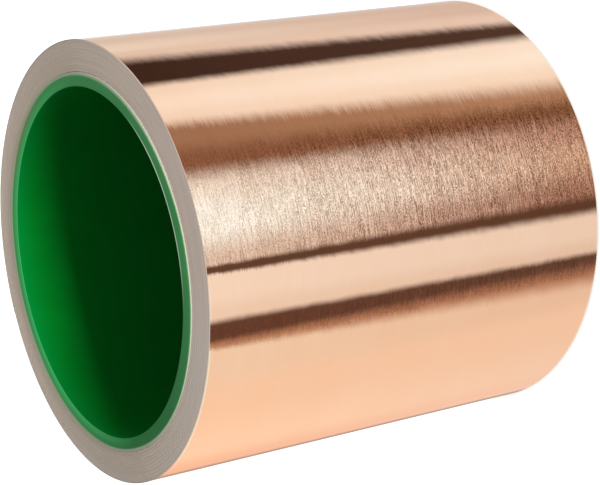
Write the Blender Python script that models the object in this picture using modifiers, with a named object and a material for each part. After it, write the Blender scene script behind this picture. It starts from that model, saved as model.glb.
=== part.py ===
"""Roll of copper foil tape on a plastic core, standing on the core's end with its axis upright.

The foil carries adhesive and a paper liner on its back. All turns are wound as one solid
on a plain tube, which is a little longer than the tape is wide.
"""

import math

import bpy

# Driving dimensions, in metres
CORE_BORE = 0.0762  # diameter that slides on a 3 inch dispenser hub
CORE_WALL = 0.0031
CORE_EDGE_ROUND = 0.0004  # at all four rims of the tube
CORE_OVERHANG = 0.0005  # what the tube stands out of the tape at each end
TAPE_WIDTH = 0.1000
FOIL_THICKNESS = 0.000035
ADHESIVE_THICKNESS = 0.000030
LINER_THICKNESS = 0.000061
TURNS = 53
WINDING_GAP = 0.0003  # between the tube and the first turn

# The turns show on both ends in bands, because a few turns at a time ran a little sideways
TURNS_IN_A_BAND = 5
SIDEWAYS_RUN = 0.00008  # most that a band lies off the tape's middle
RUN_ANGLE = math.radians(137.5)  # from one band to the next, so that no two runs look alike

# The turned surfaces are this many flats around
FLATS_AROUND = 96
ROUND_STEPS = 4  # flats along each rounded rim
SHARP_ANGLE = math.radians(30)
MERGE_DISTANCE = 0.000001

# Sizes that follow from the ones above
TAPE_THICKNESS = FOIL_THICKNESS + ADHESIVE_THICKNESS + LINER_THICKNESS
CORE_INNER_RADIUS = CORE_BORE / 2
CORE_OUTER_RADIUS = CORE_INNER_RADIUS + CORE_WALL
CORE_LENGTH = TAPE_WIDTH + 2 * CORE_OVERHANG
FIRST_TURN_RADIUS = CORE_OUTER_RADIUS + WINDING_GAP


def clear_scene():
    for obj in list(bpy.data.objects):
        bpy.data.objects.remove(obj)


def make_collection(name):
    collection = bpy.data.collections.new(name)
    bpy.context.scene.collection.children.link(collection)
    return collection


def make_material(name, colour, roughness, metallic):
    """A Principled BSDF of one colour, given as linear red, green and blue."""
    material = bpy.data.materials.new(name)
    material.use_nodes = True
    shader = material.node_tree.nodes["Principled BSDF"]
    shader.inputs["Base Color"].default_value = (*colour, 1)
    shader.inputs["Roughness"].default_value = roughness
    shader.inputs["Metallic"].default_value = metallic
    material.diffuse_color = (*colour, 1)
    return material


def rounded_rim(radius, height, outward, upward):
    """Points of a quarter round in the corner at that radius and height, in the order in which
    a profile passes it. outward and upward are 1 or -1, the sides on which the corner lies."""
    centre_radius = radius - outward * CORE_EDGE_ROUND
    centre_height = height - upward * CORE_EDGE_ROUND
    start = 0 if outward * upward < 0 else 1
    points = []
    for step in range(ROUND_STEPS + 1):
        share = abs(start - step / ROUND_STEPS)
        angle = share * math.pi / 2
        points.append(
            (
                centre_radius + outward * CORE_EDGE_ROUND * math.cos(angle),
                centre_height + upward * CORE_EDGE_ROUND * math.sin(angle),
            )
        )
    return points


def core_profile():
    """Half section of the tube as (radius, height), down the outside and up the bore."""
    half = CORE_LENGTH / 2
    return (
        rounded_rim(CORE_OUTER_RADIUS, half, 1, 1)
        + rounded_rim(CORE_OUTER_RADIUS, -half, 1, -1)
        + rounded_rim(CORE_INNER_RADIUS, -half, -1, -1)
        + rounded_rim(CORE_INNER_RADIUS, half, -1, 1)
    )


def turn_bands():
    """Each band of turns as (inner radius, outer radius, sideways run), from the core outwards."""
    bands = []
    for first_turn in range(0, TURNS, TURNS_IN_A_BAND):
        last_turn = min(first_turn + TURNS_IN_A_BAND, TURNS)
        inner = FIRST_TURN_RADIUS + first_turn * TAPE_THICKNESS
        outer = FIRST_TURN_RADIUS + last_turn * TAPE_THICKNESS
        run = SIDEWAYS_RUN * math.sin(len(bands) * RUN_ANGLE)
        bands.append((inner, outer, run))
    return bands


def winding_profile():
    """Half section of the wound tape as (radius, height). A band that ran sideways stands out
    at one end by as much as it lies back at the other."""
    half = TAPE_WIDTH / 2
    points = []
    for inner, outer, run in reversed(turn_bands()):
        points.append((outer, -half + run))
        points.append((inner, -half + run))
    for inner, outer, run in turn_bands():
        points.append((inner, half + run))
        points.append((outer, half + run))
    return points


def turned(name, profile, materials, collection, roll_middle):
    """A solid of revolution of a closed profile of (radius, height) points, heights counted from
    the roll's middle."""
    outline = bpy.data.meshes.new(name + "_profile")
    ends = [(i, (i + 1) % len(profile)) for i in range(len(profile))]
    outline.from_pydata([(radius, 0, height) for radius, height in profile], ends, [])
    blank = bpy.data.objects.new(name + "_profile", outline)
    collection.objects.link(blank)

    screw = blank.modifiers.new("turn", "SCREW")
    screw.axis = "Z"
    screw.angle = 2 * math.pi
    screw.steps = screw.render_steps = FLATS_AROUND
    screw.use_merge_vertices = True
    screw.merge_threshold = MERGE_DISTANCE
    screw.use_normal_calculate = False

    graph = bpy.context.evaluated_depsgraph_get()
    mesh = bpy.data.meshes.new_from_object(blank.evaluated_get(graph))
    mesh.name = name
    bpy.data.objects.remove(blank)
    bpy.data.meshes.remove(outline)

    mesh.materials.clear()
    for material in materials:
        mesh.materials.append(material)
    mesh.shade_smooth()
    mesh.set_sharp_from_angle(angle=SHARP_ANGLE)
    solid = bpy.data.objects.new(name, mesh)
    collection.objects.link(solid)
    solid.parent = roll_middle
    return solid


def paint_ends(solid, slot):
    """Gives the faces that look along the turned solid's axis the material in that slot."""
    for face in solid.data.polygons:
        if abs(face.normal.z) > math.cos(SHARP_ANGLE):
            face.material_index = slot


def make_middle(collection):
    """An empty on the roll's axis, half the core's length above the ground."""
    middle = bpy.data.objects.new("roll_middle", None)
    middle.location.z = CORE_LENGTH / 2
    collection.objects.link(middle)
    return middle


def main():
    clear_scene()
    collection = make_collection("copper_foil_tape_roll")
    middle = make_middle(collection)

    plastic = make_material("green_plastic", (0.005, 0.19, 0.045), 0.45, 0)
    copper = make_material("copper_foil", (0.93, 0.60, 0.44), 0.28, 1)
    edges = make_material("tape_edges", (0.39, 0.33, 0.27), 0.6, 0)

    turned("core", core_profile(), [plastic], collection, middle)
    winding = turned("tape_winding", winding_profile(), [copper, edges], collection, middle)
    paint_ends(winding, slot=1)
    bpy.context.view_layer.update()


main()
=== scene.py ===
"""Looks of the roll of copper foil tape: the wound tape, its plastic core, and a studio for them."""

import math

import bpy
from mathutils import Matrix, Vector

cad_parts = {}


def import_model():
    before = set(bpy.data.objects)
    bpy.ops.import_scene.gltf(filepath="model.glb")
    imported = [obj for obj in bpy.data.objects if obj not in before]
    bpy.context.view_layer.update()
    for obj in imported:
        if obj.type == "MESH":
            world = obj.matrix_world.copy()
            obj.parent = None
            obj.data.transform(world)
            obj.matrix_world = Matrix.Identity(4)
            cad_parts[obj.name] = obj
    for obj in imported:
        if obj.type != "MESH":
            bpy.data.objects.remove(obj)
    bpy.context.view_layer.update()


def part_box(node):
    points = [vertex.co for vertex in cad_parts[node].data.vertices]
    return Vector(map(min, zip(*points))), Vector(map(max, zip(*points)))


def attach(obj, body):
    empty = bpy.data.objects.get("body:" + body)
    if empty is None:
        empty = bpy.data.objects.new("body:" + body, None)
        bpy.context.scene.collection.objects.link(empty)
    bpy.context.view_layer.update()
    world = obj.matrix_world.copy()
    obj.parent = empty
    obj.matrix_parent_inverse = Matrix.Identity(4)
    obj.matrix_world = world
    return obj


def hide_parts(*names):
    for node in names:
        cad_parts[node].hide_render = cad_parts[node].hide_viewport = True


# Lengths and places are in metres, counted from the middle of the roll's lower end, with the
# roll's axis along Z. Colours are linear red, green and blue. Pairs of colours are the two that
# a surface varies between.

# The tape
TURNS = 53
SEGMENTS = 240  # points around one turn
SLIT_ROUND = 0.000012  # the slit edges' outer corners are this much broken
TURN_SLACK = 0.000002  # air between one turn and the next
TAIL_ANGLE = math.radians(100)  # where the last turn ends, on the side away from the camera
SIDEWAYS_RUN = 0.00003  # most that a turn lies off the tape's middle
# The run is a sum of waves: the share of each, its angle at the core, and what a turn adds to it
RUN_WAVES = ((0.45, 0.8, 1.15), (0.35, 2.1, 0.47), (0.2, 0.3, 2.9))

# The core
CORE_WALL = 0.0031
CORE_SEGMENTS = 288
RIM_ROUND = 0.0003
RIM_STEPS = 6

SHARP_ANGLE = math.radians(30)
MIDDLE_HEIGHT = 0.0505  # half the core's length

# A surface gets layers of colour, one over the other. Each layer is the most that it covers, its
# colour, and the ramps that fade it in. A ramp is what it follows, where it starts, and where it
# is full, and it is straight unless it is marked smooth.
SMOOTH = "smooth"
NOISE_RANGE = (0.3, 0.7)  # what soft noise stays in, nearly everywhere

# The foil. Textures on the tape have so many cells in a metre, along the tape and across it.
COPPER = ((0.93, 0.595, 0.43), (0.935, 0.61, 0.455))
COPPER_CELLS = (60, 90)
COPPER_ROUGHNESS = (0.03, 0.04)
EDGE_TINT = (1.0, 0.86, 0.76)  # copper keeps some of its colour where it is seen edge-on
FOIL_LAYERS = (
    # Painted highlight along both slit edges, on the side of −X
    (0.8, (0.97, 0.86, 0.74), ("from_middle", 0.0496, 0.0499), ("x", -0.005, -0.02)),
)
WAVE_CELLS = (200, 300)
WAVE_HEIGHT = 0.00002
# What tips the surface, and by what slope: the fine grain, the rolling lines, and broader shades
TILTS = (((2200, 3600), 0.028), ((150, 3600), 0.05), ((30, 220), 0.02))
# The X where the slopes start and stop to fall, and the shares of them that are left there
SMOOTHER_SIDE = (0.017, 0.03, 1.0, 0.55)

# The tape's ends
PAPER = ((0.455, 0.38, 0.31), (0.485, 0.41, 0.34))
PAPER_LAYERS = (
    (1.0, (0.485, 0.425, 0.365), ("radius", 0.043, 0.0465)),  # the outer turns
    (1.0, (0.515, 0.465, 0.42), ("y", 0.0, -0.04)),  # painted light, lighter towards −Y
    (0.8, (0.58, 0.49, 0.41), ("y", 0.01, 0.045)),  # painted light, lightest towards +Y
    (0.3, (0.36, 0.31, 0.26), ("x", -0.015, -0.045)),  # painted shade, darker towards −X
    (0.8, (0.47, 0.52, 0.34), ("radius", 0.0436, 0.0421), ("y", 0.0, 0.03)),  # painted green light by the core
)
RINGS = ((2600, 0.13), (5200, 0.22))  # faint rings: how many in a metre, and how dark
RING_NOISE = (0.35, 0.65)  # noise at which a ring starts to darken and is darkest
RING_COLOUR = (0.24, 0.195, 0.155)
RING_DRIFT = 6  # how much the rings differ from place to place
SLIT_LAYERS = (
    (1.0, (0.85, 0.71, 0.57), ("radius", 0.0476, 0.048), ("y", -0.01, -0.03)),  # painted highlight on the edge
    (1.0, (0.36, 0.27, 0.21), ("depth", 0.68, 0.76, SMOOTH)),  # the foil in each turn
    # Painted shade on the last turn's edge
    (0.7, (0.12, 0.11, 0.11), ("radius", 0.0478, 0.04805, SMOOTH), ("y", -0.02, 0.0, SMOOTH)),
)

# The core's plastic. Marks are places on the upper end, and ramps follow the distance from them.
MARKS = {"smudge": (0.0311, 0.0261, 0), "scuff": (0.0099, -0.037, 0), "narrow_glint": (-0.014, -0.0385, 0)}
BORE_WALL = ((0.0003, 0.125, 0.010), (0.0004, 0.14, 0.012))
WALL_LAYERS = (
    (1.0, (0.0004, 0.133, 0.018), ("from_middle", 0.046, 0.050)),  # near the ends
    (0.3, (0.0002, 0.03, 0.002), ("off_axis", 0.012, 0.034)),  # painted shade at the sides
)
CUT_NORMAL = (0.5, 0.95)  # how much a normal looks along the axis, where a cut end starts and is full
PLASTIC_ROUGHNESS = (0.45, 0.55)  # on the wall and on a cut end
CUT_END = ((0.036, 0.19, 0.058), (0.044, 0.215, 0.068))
END_LAYERS = (
    (0.9, (0.016, 0.125, 0.034), ("x", -0.01, -0.035)),  # darker towards −X
    (1.0, (0.037, 0.285, 0.075), ("y", -0.005, 0.03)),  # a brighter side
    # The brighter side's inner half, and a darker olive patch on the outer half
    (1.0, (0.045, 0.34, 0.105), ("y", -0.005, 0.03), ("radius", 0.0400, 0.0389, SMOOTH)),
    (0.8, (0.15, 0.19, 0.08), ("smudge", 0.016, 0.006, SMOOTH), ("radius", 0.0390, 0.0403)),
)
INNER_RIM_GLINTS = (
    # A painted highlight on the bore's rim at the upper end
    (
        0.85,
        (0.66, 0.84, 0.62),
        ("scuff", 0.024, 0.008, SMOOTH),
        ("radius", 0.0388, 0.0384, SMOOTH),
        ("z", 0.1, 0.1006),
    ),
)
OUTER_RIM_GLINT = (0.27, 0.32, 0.225)  # painted highlight on the outer rim
OUTER_RIM_GLINT_LAYERS = (
    (1.0, (0.29, 0.44, 0.245), ("y", 0.022, 0.036)),  # a greener side
    (1.0, (0.36, 0.33, 0.28), ("z", 0.10085, 0.10070)),  # painted shade below the rim's round
)
OUTER_RIM_GLINT_FROM = (0.0403, 0.0408)  # radii between which it fades in
GLINT_NARROWING = (0.042, 0.018, 0.0, 0.0007)  # near this mark, the painted highlight starts this much further out
OUTER_CORNER = (0.0411, 0.04118)  # radii between which it fades in everywhere

# The camera, from ellipses fitted to the photograph
CAMERA_DISTANCE = 0.43908
CAMERA_ELEVATION = math.radians(31.74)
CAMERA_ROLL = math.radians(-99.97)  # the photograph shows the roll lying on its side
CAMERA_LENS = 115.13
CAMERA_SENSOR = 36
CAMERA_CLIP = (0.01, 50)
AIM_FROM_MIDDLE = (-0.00323, 0.0, -0.00187)

# The floor, and the light on it
FLOOR_RADIUS = 8.0
DISC_RADIUS = 0.046  # the floor under the roll is a disc of its own
DISC_CORNERS = 96
FLOOR_WHITE = ((0.84, 0.84, 0.84), (0.86, 0.86, 0.86))
# The radii between which the glow rises, and how much it rises
FLOOR_GLOW = (DISC_RADIUS, 0.05, 0.0, 0.6)
BORE_GLOW = (0.0378, 0.037, 0.0, 0.25)
FRONT_LIGHT = {
    "place": (0.15, -1.5, 0.235),
    "target": (0, 0, 0.1),
    "size": (0.7, 0.26),
    "radiance": 63,
}

# What the foil mirrors: upright strips of light and shade all around the roll. The azimuth is in
# degrees from the camera's side, counter-clockwise from above. Each strip fades in over a stretch
# of azimuth and then keeps its colour up to the next. The stretch and the colour are given
# first for reflections seen near the roll's upper end, then for those near its lower end.
# They were tuned until the bands on the foil lay where the photograph has them, where
# the reflections of negative azimuth are in its lower half.
FIRST_STRIP = ((0.90, 0.80, 0.74), (0.80, 0.72, 0.66))
STRIPS = (
    ((-171, -164.5), (0.48, 0.38, 0.33), (-174, -167), (0.42, 0.35, 0.30)),
    ((-162.5, -153), (1.00, 0.78, 0.65), (-165, -154), (0.96, 0.88, 0.83)),
    ((-154, -127), (1.08, 1.03, 0.92), (-153, -129), (0.95, 0.96, 0.92)),
    ((-125, -85), (1.01, 0.93, 0.79), (-125, -85), (0.96, 0.89, 0.79)),
    ((-85, -64), (0.95, 0.94, 0.83), (-82, -68), (0.88, 0.82, 0.73)),
    # A dark band
    ((-57, -52.3), (0.48, 0.30, 0.20), (-66.5, -53.5), (0.45, 0.28, 0.19)),
    ((-53, -48.5), (0.14, 0.075, 0.055), (-57.5, -46), (0.13, 0.08, 0.06)),
    # A pale band, and the dark line above it
    ((-42, -37.4), (0.93, 0.96, 0.91), (-44.8, -40.2), (0.84, 0.85, 0.81)),
    ((-37, -25), (0.99, 1.07, 1.07), (-41, -30), (0.91, 0.98, 0.97)),
    ((-16.6, -14.4), (0.13, 0.08, 0.055), (-22.3, -15.4), (0.12, 0.07, 0.05)),
    # The broad pale band with the grain, and the dark one above it
    ((-12.4, -10.2), (0.76, 0.79, 0.78), (-13.6, -7), (0.36, 0.25, 0.21)),
    ((-9, 8), (1.00, 1.34, 1.50), (-8, 13), (0.60, 0.53, 0.46)),
    ((13, 31), (0.88, 1.04, 1.09), (15, 31), (0.46, 0.35, 0.31)),
    ((28.5, 41), (0.26, 0.15, 0.095), (28.5, 41), (0.22, 0.13, 0.08)),
    ((44, 56), (0.38, 0.26, 0.18), (42, 52), (0.46, 0.33, 0.23)),
    # A pale band, and the darkest line above it
    ((60.5, 69), (1.00, 1.06, 1.04), (51, 65.5), (1.02, 1.12, 1.10)),
    ((68, 78), (1.05, 1.18, 1.20), (64, 78), (1.06, 1.30, 1.38)),
    ((80, 90), (0.99, 1.09, 1.09), (80, 90), (1.04, 1.23, 1.29)),
    ((89.8, 96.7), (0.06, 0.038, 0.031), (90, 101.5), (0.09, 0.062, 0.053)),
    # The uppermost pale bands
    ((109.8, 122.2), (0.83, 0.89, 0.92), (105.5, 116), (0.86, 0.93, 0.98)),
    ((123, 131), (0.86, 0.98, 1.04), (119, 134), (0.69, 0.71, 0.72)),
    ((132, 149), (0.73, 0.78, 0.80), (136, 151), (0.70, 0.68, 0.67)),
    ((157, 168), (0.88, 1.00, 1.07), (160, 170), (0.66, 0.72, 0.74)),
    ((168, 180), FIRST_STRIP[0], (168, 180), FIRST_STRIP[1]),
)
NEAR_DIP = math.radians(29.5)  # how far down those reflections look, near the upper end
FAR_DIP = math.radians(40)  # and near the lower end
BEYOND = 0.4  # the change from near to far goes on by this much of itself, both ways
COLOURS_BEYOND = (-0.3, 1.1)  # but the colours stop changing here
SLAT_HEIGHT = math.radians(1.7)  # the broad pale strip and a dark one are slatted, like a blind
SLAT_COLOUR = (0.9, 1.03, 1.15)  # the gaps between the slats are brown
# Each blind fades in and out over two stretches of azimuth, and the contrast of its slats is given
# for reflections seen near the roll's upper end and near its lower end
BLINDS = (
    ((-57, -54), (-44, -40), (0.2, 0.35)),
    ((-14, -9), (40, 54), (0.3, 0.8)),
)
CONTRAST_FULL = 0.65  # share of the way from near to far
CALM = (0.88, 0.84, 0.79)  # nothing is brighter than this where the dip is outside these limits
# The dips at which the strips are fully calm and not at all
CALM_BELOW = (math.radians(20), math.radians(25))
CALM_ABOVE = (math.radians(55), math.radians(46))
HORIZON = (-0.02, 0.06)  # the sky fades in as a direction rises by this much
SKY = (0.70, 0.70, 0.70)
BACKDROP = (1.0, 1.0, 1.0)


def new_material(name):
    """A node material with only its Principled BSDF and output, and a function to add nodes."""
    material = bpy.data.materials.new(name)
    material.use_nodes = True
    return material, material.node_tree.nodes["Principled BSDF"], adder(material.node_tree)


def adder(tree):
    """A function that adds a node of a type, sets its properties, and fills or links its inputs."""

    def add(kind, inputs=None, **settings):
        node = tree.nodes.new(kind)
        for key, value in settings.items():
            setattr(node, key, value)
        for key, value in (inputs or {}).items():
            if isinstance(value, bpy.types.NodeSocket):
                tree.links.new(value, node.inputs[key])
            else:
                node.inputs[key].default_value = value
        return node

    return add


def connect(material, source, target):
    material.node_tree.links.new(source, target)


def mix_colour(add, factor, first, second, **settings):
    node = add("ShaderNodeMix", data_type="RGBA", **settings)
    for key, value in ((0, factor), (6, first), (7, second)):
        if isinstance(value, bpy.types.NodeSocket):
            node.id_data.links.new(value, node.inputs[key])
        elif isinstance(value, tuple):
            node.inputs[key].default_value = (*value, 1)
        else:
            node.inputs[key].default_value = value
    return node.outputs[2]


def remap(add, value, low, high, to_low=0.0, to_high=1.0, smooth=False):
    kind = "SMOOTHSTEP" if smooth else "LINEAR"
    inputs = {0: value, 1: low, 2: high, 3: to_low, 4: to_high}
    return add("ShaderNodeMapRange", inputs, interpolation_type=kind).outputs[0]


def math_node(add, operation, first, second=0.0, third=0.0):
    inputs = {0: first, 1: second, 2: third}
    return add("ShaderNodeMath", inputs, operation=operation).outputs[0]


def between(add, share, first, second):
    """The number that lies that share of the way from the first to the second, or beyond."""
    return math_node(add, "MULTIPLY_ADD", share, float(second - first), float(first))


def tape_coordinates(add, along, across):
    """A vector for textures on the tape: along its length and across its width, both scaled."""
    run = add("ShaderNodeAttribute", attribute_name="run").outputs["Fac"]
    place = add("ShaderNodeTexCoord").outputs["Object"]
    height = add("ShaderNodeSeparateXYZ", {0: place}).outputs["Z"]
    return add(
        "ShaderNodeCombineXYZ",
        {0: math_node(add, "MULTIPLY", run, along), 1: math_node(add, "MULTIPLY", height, across)},
    ).outputs[0]


def noise(add, vector, scale=1.0, detail=2.0):
    inputs = {"Vector": vector, "Scale": scale, "Detail": detail}
    return add("ShaderNodeTexNoise", inputs).outputs[0]


def clouds(add, vector, **settings):
    """Soft noise, spread out to run from 0 to 1."""
    return remap(add, noise(add, vector, **settings), *NOISE_RANGE)


def own_coordinates(add):
    """The object's own coordinates by name, for the layers of colour to follow."""
    place = add("ShaderNodeTexCoord").outputs["Object"]
    x, y, z = add("ShaderNodeSeparateXYZ", {0: place}).outputs
    across = add("ShaderNodeCombineXYZ", {0: x, 1: y}).outputs[0]
    radius = add("ShaderNodeVectorMath", {0: across}, operation="LENGTH").outputs["Value"]
    from_middle = math_node(add, "ABSOLUTE", math_node(add, "SUBTRACT", z, MIDDLE_HEIGHT))
    return {
        "place": place,
        "across": across,
        "x": x,
        "y": y,
        "z": z,
        "radius": radius,
        "from_middle": from_middle,
    }


def layered(add, at, colour, layers):
    """The colour with those layers over it. Their ramps follow the coordinates named in at."""
    for cover, over, *ramps in layers:
        share = cover
        for name, start, full, *kind in ramps:
            ramp = remap(add, at[name], start, full, smooth=SMOOTH in kind)
            share = math_node(add, "MULTIPLY", ramp, share)
        colour = mix_colour(add, share, colour, over)
    return colour


def copper_foil():
    """Rolled foil that mirrors sharply, tipped a little by its grain and its rolling lines."""
    material, shader, add = new_material("copper_foil")
    at = own_coordinates(add)
    cloud = clouds(add, tape_coordinates(add, *COPPER_CELLS), detail=3)
    colour = layered(add, at, mix_colour(add, cloud, *COPPER), FOIL_LAYERS)
    connect(material, colour, shader.inputs["Base Color"])
    shader.inputs["Metallic"].default_value = 1
    shader.inputs["Specular Tint"].default_value = (*EDGE_TINT, 1)
    connect(material, remap(add, cloud, 0, 1, *COPPER_ROUGHNESS), shader.inputs["Roughness"])

    height = noise(add, tape_coordinates(add, *WAVE_CELLS), detail=1)
    waves = add("ShaderNodeBump", {"Distance": WAVE_HEIGHT, "Height": height})
    # Rolling lines scatter light along the roll's axis, so they tip the normal that way only
    tilt = 0.0
    for cells, slope in TILTS:
        lines = noise(add, tape_coordinates(add, *cells), detail=1)
        lines = math_node(add, "SUBTRACT", lines, 0.5)
        tilt = math_node(add, "MULTIPLY_ADD", lines, slope, tilt)
    tilt = math_node(add, "MULTIPLY", tilt, remap(add, at["x"], *SMOOTHER_SIDE))
    along_axis = add("ShaderNodeCombineXYZ", {2: tilt}).outputs[0]
    tipped = add("ShaderNodeVectorMath", {0: waves.outputs[0], 1: along_axis}, operation="ADD")
    normal = add("ShaderNodeVectorMath", {0: tipped.outputs[0]}, operation="NORMALIZE")
    connect(material, normal.outputs[0], shader.inputs["Normal"])
    return material


def tape_edges():
    """Slit edges of the turns: a thin copper line beside paper liner in each one."""
    material, shader, add = new_material("tape_edges")
    at = own_coordinates(add)
    at["depth"] = add("ShaderNodeAttribute", attribute_name="depth").outputs["Fac"]
    paper = mix_colour(add, clouds(add, at["place"], scale=120, detail=3), *PAPER)
    paper = layered(add, at, paper, PAPER_LAYERS)
    drift = noise(add, at["place"], scale=25, detail=2)
    drift = math_node(add, "MULTIPLY", drift, RING_DRIFT)
    for count, darkness in RINGS:
        ring = math_node(add, "MULTIPLY", at["radius"], count)
        ring = add("ShaderNodeCombineXYZ", {0: ring, 1: drift}).outputs[0]
        ring = remap(add, noise(add, ring, detail=1), *RING_NOISE, 0.0, darkness)
        paper = mix_colour(add, ring, paper, RING_COLOUR)
    colour = layered(add, at, paper, SLIT_LAYERS)
    connect(material, colour, shader.inputs["Base Color"])
    shader.inputs["Roughness"].default_value = 0.62
    shader.inputs["Specular IOR Level"].default_value = 0.25
    return material


def green_plastic():
    """Satin extruded plastic, paler and rougher where the tube was cut, with a painted highlight on
    the outer rim.
    """
    material, shader, add = new_material("green_plastic")
    at = own_coordinates(add)
    at["off_axis"] = math_node(add, "ABSOLUTE", at["x"])
    for name, mark in MARKS.items():
        measure = add("ShaderNodeVectorMath", {0: at["across"], 1: mark}, operation="DISTANCE")
        at[name] = measure.outputs["Value"]

    cloud = clouds(add, at["place"], scale=90, detail=4)
    wall = layered(add, at, mix_colour(add, cloud, *BORE_WALL), WALL_LAYERS)
    end = layered(add, at, mix_colour(add, cloud, *CUT_END), END_LAYERS)
    normal = add("ShaderNodeSeparateXYZ", {0: add("ShaderNodeNewGeometry").outputs["Normal"]})
    cut = remap(add, math_node(add, "ABSOLUTE", normal.outputs["Z"]), *CUT_NORMAL, smooth=True)
    # The bore's rim gets its painted highlight here
    colour = layered(add, at, mix_colour(add, cut, wall, end), INNER_RIM_GLINTS)

    # The outer rim's painted highlight, narrower near one mark
    narrow_glint = math_node(add, "SUBTRACT", at["radius"], remap(add, at["narrow_glint"], *GLINT_NARROWING))
    outer_glint_share = remap(add, narrow_glint, *OUTER_RIM_GLINT_FROM, smooth=True)
    corner = remap(add, at["radius"], *OUTER_CORNER, smooth=True)
    outer_glint_share = math_node(add, "MAXIMUM", outer_glint_share, corner)
    pale = layered(add, at, OUTER_RIM_GLINT, OUTER_RIM_GLINT_LAYERS)
    colour = mix_colour(add, outer_glint_share, colour, pale)
    connect(material, colour, shader.inputs["Base Color"])
    connect(material, remap(add, cut, 0, 1, *PLASTIC_ROUGHNESS), shader.inputs["Roughness"])
    shader.inputs["Specular IOR Level"].default_value = 0.05
    grain = noise(add, at["place"], scale=2500, detail=3)
    bump = add("ShaderNodeBump", {"Strength": 0.5, "Distance": 0.00001, "Height": grain})
    connect(material, bump.outputs[0], shader.inputs["Normal"])
    return material


def white_floor():
    """A white table lit from below, less in the bore, and not where the roll stands on it."""
    material, shader, add = new_material("white_floor")
    place = add("ShaderNodeTexCoord").outputs["Object"]
    colour = mix_colour(add, clouds(add, place, scale=3), *FLOOR_WHITE)
    connect(material, colour, shader.inputs["Base Color"])
    shader.inputs["Roughness"].default_value = 0.8
    shader.inputs["Specular IOR Level"].default_value = 0.1
    radius = add("ShaderNodeVectorMath", {0: place}, operation="LENGTH").outputs["Value"]
    glow = remap(add, radius, *FLOOR_GLOW)
    glow = math_node(add, "ADD", glow, remap(add, radius, *BORE_GLOW))
    shader.inputs["Emission Color"].default_value = (1, 1, 1, 1)
    connect(material, glow, shader.inputs["Emission Strength"])
    return material


def add_object(name, mesh, *materials):
    for material in materials:
        mesh.materials.append(material)
    piece = bpy.data.objects.new(name, mesh)
    bpy.context.scene.collection.objects.link(piece)
    return piece


def sideways(turn):
    """How far the tape lies off its middle at that many turns from the core."""
    waves = sum(share * math.sin(rate * turn + start) for share, start, rate in RUN_WAVES)
    return SIDEWAYS_RUN * waves


def wound_tape(core_radius, roll_radius, half_width, middle):
    """The whole length of tape as one strip, wound in a spiral from the core to its tail."""
    pitch = (roll_radius - core_radius) / (TURNS + 1)
    thickness = pitch - TURN_SLACK
    section = (
        (0, -half_width),
        (thickness - SLIT_ROUND, -half_width),
        (thickness, -half_width + SLIT_ROUND),
        (thickness, half_width - SLIT_ROUND),
        (thickness - SLIT_ROUND, half_width),
        (0, half_width),
    )
    points, runs, depths = [], [], []
    run = 0.0
    count = TURNS * SEGMENTS
    for step in range(count + 1):
        turn = step / SEGMENTS
        angle = TAIL_ANGLE + 2 * math.pi * turn
        inner = core_radius + pitch * turn
        for outwards, upwards in section:
            radius = inner + outwards
            height = middle + upwards + sideways(turn)
            points.append((radius * math.cos(angle), radius * math.sin(angle), height))
            runs.append(run)
            depths.append(outwards / thickness)
        run += inner * 2 * math.pi / SEGMENTS

    corners = len(section)
    foil_sides = (1, 2, 3)
    faces = [tuple(range(corners))]
    slots = [1]
    for step in range(count):
        a, b = step * corners, (step + 1) * corners
        for i in range(corners):
            j = (i + 1) % corners
            faces.append((a + i, b + i, b + j, a + j))
            slots.append(0 if i in foil_sides else 1)
    faces.append(tuple(reversed(range(count * corners, (count + 1) * corners))))
    slots.append(1)

    mesh = bpy.data.meshes.new("wound_tape")
    mesh.from_pydata(points, [], faces)
    for name, values in (("run", runs), ("depth", depths)):
        mesh.attributes.new(name, "FLOAT", "POINT").data.foreach_set("value", values)
    mesh.shade_smooth()
    mesh.set_sharp_from_angle(angle=SHARP_ANGLE)
    piece = add_object("wound_tape", mesh, copper_foil(), tape_edges())
    mesh.polygons.foreach_set("material_index", slots)
    return piece


def arc(centre, radius, start, turn, steps):
    """Points along an arc about the centre, from its start angle through the turn."""
    return [
        (
            centre[0] + radius * math.cos(start + turn * i / steps),
            centre[1] + radius * math.sin(start + turn * i / steps),
        )
        for i in range(steps + 1)
    ]


def core_tube(inner, outer, low, high):
    """The core as a smooth turned tube with softly broken rims."""
    r = RIM_ROUND
    quarter = math.pi / 2
    profile = (
        arc((outer - r, high - r), r, 0, quarter, RIM_STEPS)
        + arc((inner + r, high - r), r, quarter, quarter, RIM_STEPS)
        + arc((inner + r, low + r), r, 2 * quarter, quarter, RIM_STEPS)
        + arc((outer - r, low + r), r, 3 * quarter, quarter, RIM_STEPS)
    )
    count = len(profile)
    points = []
    for step in range(CORE_SEGMENTS):
        angle = 2 * math.pi * step / CORE_SEGMENTS
        for radius, height in profile:
            points.append((radius * math.cos(angle), radius * math.sin(angle), height))
    faces = []
    for step in range(CORE_SEGMENTS):
        a, b = step * count, (step + 1) % CORE_SEGMENTS * count
        for i in range(count):
            j = (i + 1) % count
            faces.append((a + i, b + i, b + j, a + j))
    mesh = bpy.data.meshes.new("core_tube")
    mesh.from_pydata(points, [], faces)
    mesh.shade_smooth()
    mesh.set_sharp_from_angle(angle=SHARP_ANGLE)
    return add_object("core_tube", mesh, green_plastic())


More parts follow.
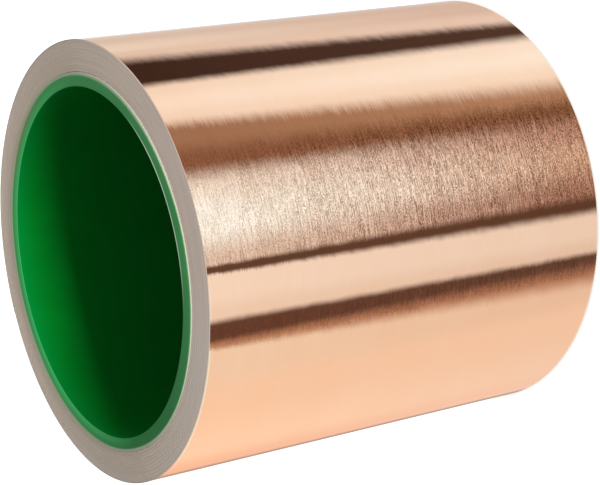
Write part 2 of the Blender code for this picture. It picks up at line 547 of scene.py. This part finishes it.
def floor():
    """A disc under the roll, and the floor around it, which the foil doesn't mirror."""
    material = white_floor()
    rims = []
    for radius in (DISC_RADIUS, FLOOR_RADIUS):
        circle = arc((0, 0), radius, 0, 2 * math.pi, DISC_CORNERS)[:-1]
        rims.append([(x, y, 0) for x, y in circle])
    inner, outer = rims
    count = DISC_CORNERS
    around = []
    for i in range(count):
        j = (i + 1) % count
        around.append((i, count + i, count + j, j))
    for name, points, faces, mirrored in (
        ("floor_under", inner, [tuple(range(count))], True),
        ("floor", inner + outer, around, False),
    ):
        mesh = bpy.data.meshes.new(name)
        mesh.from_pydata(points, [], faces)
        piece = add_object(name, mesh, material)
        piece.visible_glossy = mirrored


def strips_seen(add, azimuth, dip):
    """The strips' colour in a direction. The dip is a share of the way from near to far."""
    near, far = FIRST_STRIP
    for near_fade, near_next, far_fade, far_next in STRIPS:
        start = between(add, dip, near_fade[0], far_fade[0])
        end = between(add, dip, near_fade[1], far_fade[1])
        fade = remap(add, azimuth, start, end, smooth=True)
        near = mix_colour(add, fade, near, near_next)
        far = mix_colour(add, fade, far, far_next)
    dip = remap(add, dip, *COLOURS_BEYOND, *COLOURS_BEYOND)
    return mix_colour(add, dip, near, far, clamp_factor=False)


def slats_seen(add, azimuth, dip, height, strength):
    """What the slats do in a direction, as a colour that multiplies the strips."""
    wave = math_node(add, "ARCSINE", height)
    wave = math_node(add, "SINE", math_node(add, "MULTIPLY", wave, 2 * math.pi / SLAT_HEIGHT))
    blind = 0.0
    for fade_in, fade_out, contrast in BLINDS:
        stretch = math_node(
            add, "MULTIPLY", remap(add, azimuth, *fade_in), remap(add, azimuth, *fade_out, 1, 0)
        )
        contrast = remap(add, dip, 0.0, CONTRAST_FULL, *contrast)
        blind = math_node(add, "MULTIPLY_ADD", stretch, contrast, blind)
    wave = math_node(add, "MULTIPLY", wave, math_node(add, "MULTIPLY", blind, strength))
    slats = add(
        "ShaderNodeVectorMath", {0: wave, 1: SLAT_COLOUR, 2: (1, 1, 1)}, operation="MULTIPLY_ADD"
    )
    slats = add("ShaderNodeVectorMath", {0: slats.outputs[0], 1: (0, 0, 0)}, operation="MAXIMUM")
    return slats.outputs[0]


def studio():
    """The world: strips for the foil to mirror, a soft pale sky above them, a plain backdrop."""
    world = bpy.data.worlds.new("studio")
    bpy.context.scene.world = world
    world.use_nodes = True
    tree = world.node_tree
    tree.nodes.clear()
    add = adder(tree)

    axes = add("ShaderNodeSeparateXYZ", {0: add("ShaderNodeTexCoord").outputs["Generated"]})
    x, y, z = axes.outputs
    back = math_node(add, "MULTIPLY", y, -1.0)
    azimuth = math_node(add, "DEGREES", math_node(add, "ARCTAN2", x, back))
    down = math_node(add, "MULTIPLY", z, -1.0)
    reach = BEYOND * (math.sin(FAR_DIP) - math.sin(NEAR_DIP))
    lowest, highest = math.sin(NEAR_DIP) - reach, math.sin(FAR_DIP) + reach
    dip = remap(add, down, lowest, highest, -BEYOND, 1 + BEYOND)

    strips = strips_seen(add, azimuth, dip)
    below, above = [[math.sin(angle) for angle in limit] for limit in (CALM_BELOW, CALM_ABOVE)]
    photographed = math_node(add, "MULTIPLY", remap(add, down, *below), remap(add, down, *above))
    calm = add("ShaderNodeVectorMath", {0: strips, 1: CALM}, operation="MINIMUM").outputs[0]
    strips = mix_colour(add, photographed, calm, strips)
    slats = slats_seen(add, azimuth, dip, z, photographed)
    strips = add("ShaderNodeVectorMath", {0: strips, 1: slats}, operation="MULTIPLY").outputs[0]

    light = mix_colour(add, remap(add, z, *HORIZON, smooth=True), strips, SKY)
    seen = add("ShaderNodeLightPath").outputs["Is Camera Ray"]
    light = mix_colour(add, seen, light, BACKDROP)
    background = add("ShaderNodeBackground", {"Color": light, "Strength": 1.0})
    add("ShaderNodeOutputWorld", {"Surface": background.outputs[0]})


def softbox(name, place, target, size, radiance):
    """A flat soft light that neither the camera nor the foil sees."""
    light = bpy.data.lights.new(name, "AREA")
    light.shape = "RECTANGLE"
    light.size, light.size_y = size
    light.energy = radiance * math.pi * size[0] * size[1]
    lamp = bpy.data.objects.new(name, light)
    bpy.context.scene.collection.objects.link(lamp)
    lamp.location = place
    lamp.rotation_euler = (Vector(target) - Vector(place)).to_track_quat("-Z", "Y").to_euler()
    lamp.visible_camera = False
    lamp.visible_glossy = False


def camera(middle):
    data = bpy.data.cameras.new("camera")
    data.sensor_width = CAMERA_SENSOR
    data.lens = CAMERA_LENS
    item = bpy.data.objects.new("camera", data)
    bpy.context.scene.collection.objects.link(item)
    away = Vector((0, -math.cos(CAMERA_ELEVATION), math.sin(CAMERA_ELEVATION)))
    place = middle + away * CAMERA_DISTANCE
    aim = middle + Vector(AIM_FROM_MIDDLE)
    level = (aim - place).to_track_quat("-Z", "Y").to_matrix().to_4x4()
    item.matrix_world = Matrix.Translation(place) @ level @ Matrix.Rotation(CAMERA_ROLL, 4, "Z")
    data.clip_start, data.clip_end = CAMERA_CLIP
    bpy.context.scene.camera = item


def main():
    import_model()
    bpy.context.scene.view_settings.view_transform = "Standard"

    core_low, core_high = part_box("core")
    tape_low, tape_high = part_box("tape_winding")
    core_radius = core_high[0]
    bore_radius = core_radius - CORE_WALL
    middle = Vector((0, 0, (core_low[2] + core_high[2]) / 2))

    tube = core_tube(bore_radius, core_radius, core_low[2], core_high[2])
    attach(tube, "root")
    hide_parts("core")

    half_width = (tape_high[2] - tape_low[2]) / 2 - SIDEWAYS_RUN
    tape = wound_tape(core_radius, tape_high[0], half_width, middle.z)
    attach(tape, "root")
    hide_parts("tape_winding")

    floor()
    studio()
    softbox("front_light", **FRONT_LIGHT)
    camera(middle)


main()
